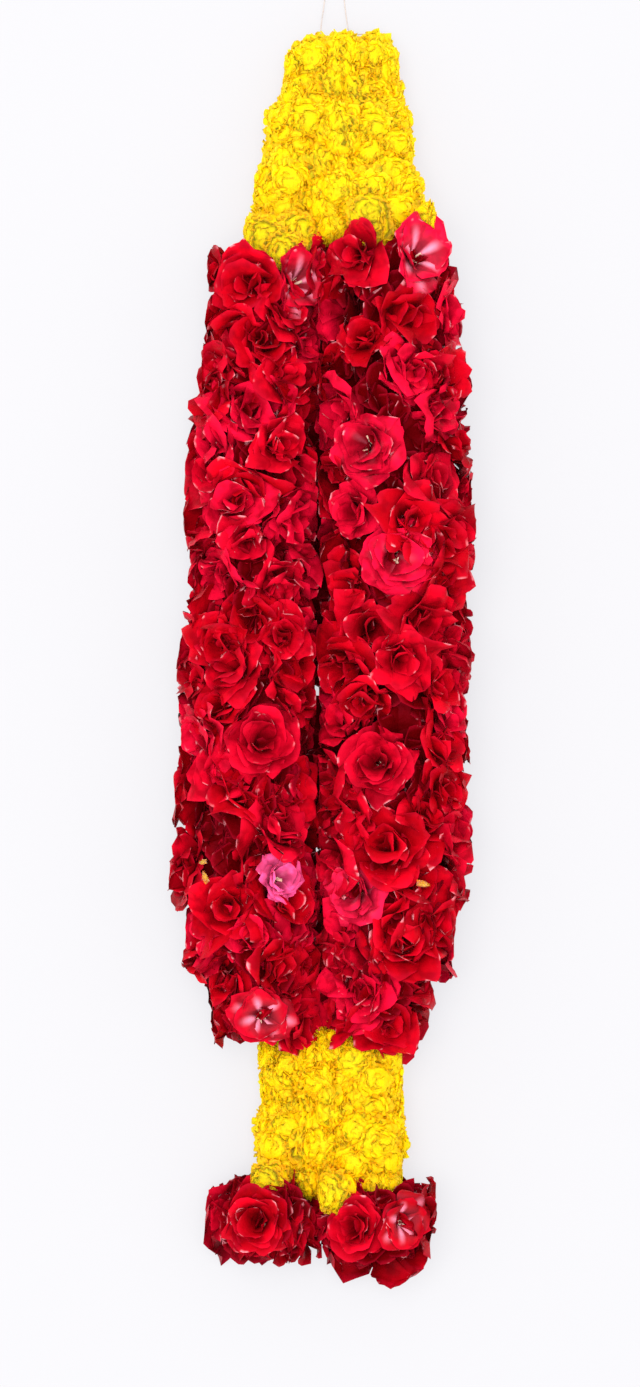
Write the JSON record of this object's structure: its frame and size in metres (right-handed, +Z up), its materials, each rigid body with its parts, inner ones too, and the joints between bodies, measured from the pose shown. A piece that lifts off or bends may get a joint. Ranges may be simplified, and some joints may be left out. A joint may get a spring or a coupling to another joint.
{
  "type": "rose and marigold garland",
  "caption": "Flower garland laid flat: paired strands of yellow marigolds, a long run of red roses, a band of marigolds and a tail of roses, with thin threads tied in a knot.",
  "frame": {"origin": "on the table under the middle of the flowers, the threads and knot left out", "axes": "+Y along the strands towards the knotted threads, +Z up from the table, +X to the right seen from above"},
  "size_m": [0.2165, 1.0394, 0.0984],
  "materials": {
    "rose_petals": "soft satin, deep red with lighter pink rims",
    "marigold_petals": "matte, golden yellow",
    "cotton_string": "matte, greyish white"
  },
  "bodies": {
    "root": {"marigold_top_left_01": "marigold_petals", "marigold_top_left_02": "marigold_petals", "marigold_top_left_03": "marigold_petals", "marigold_top_left_04": "marigold_petals", "marigold_top_left_05": "marigold_petals", "marigold_top_left_06": "marigold_petals", "rose_left_01": "rose_petals", "rose_left_02": "rose_petals", "rose_left_03": "rose_petals", "rose_left_04": "rose_petals", "rose_left_05": "rose_petals", "rose_left_06": "rose_petals", "rose_left_07": "rose_petals", "rose_left_08": "rose_petals", "rose_left_09": "rose_petals", "rose_left_10": "rose_petals", "rose_left_11": "rose_petals", "rose_left_12": "rose_petals", "marigold_tail_left_01": "marigold_petals", "marigold_tail_left_02": "marigold_petals", "marigold_tail_left_03": "marigold_petals", "marigold_tail_left_04": "marigold_petals", "tail_rose_left_01": "rose_petals", "tail_rose_left_02": "rose_petals", "core_string_left": "cotton_string", "hanging_thread_left": "cotton_string", "marigold_top_right_01": "marigold_petals", "marigold_top_right_02": "marigold_petals", "marigold_top_right_03": "marigold_petals", "marigold_top_right_04": "marigold_petals", "marigold_top_right_05": "marigold_petals", "rose_right_01": "rose_petals", "rose_right_02": "rose_petals", "rose_right_03": "rose_petals", "rose_right_04": "rose_petals", "rose_right_05": "rose_petals", "rose_right_06": "rose_petals", "rose_right_07": "rose_petals", "rose_right_08": "rose_petals", "rose_right_09": "rose_petals", "rose_right_10": "rose_petals", "rose_right_11": "rose_petals", "rose_right_12": "rose_petals", "marigold_tail_right_01": "marigold_petals", "marigold_tail_right_02": "marigold_petals", "marigold_tail_right_03": "marigold_petals", "marigold_tail_right_04": "marigold_petals", "tail_rose_right_01": "rose_petals", "tail_rose_right_02": "rose_petals", "core_string_right": "cotton_string", "hanging_thread_right": "cotton_string", "thread_knot": "cotton_string"}
  },
  "joints": []
}
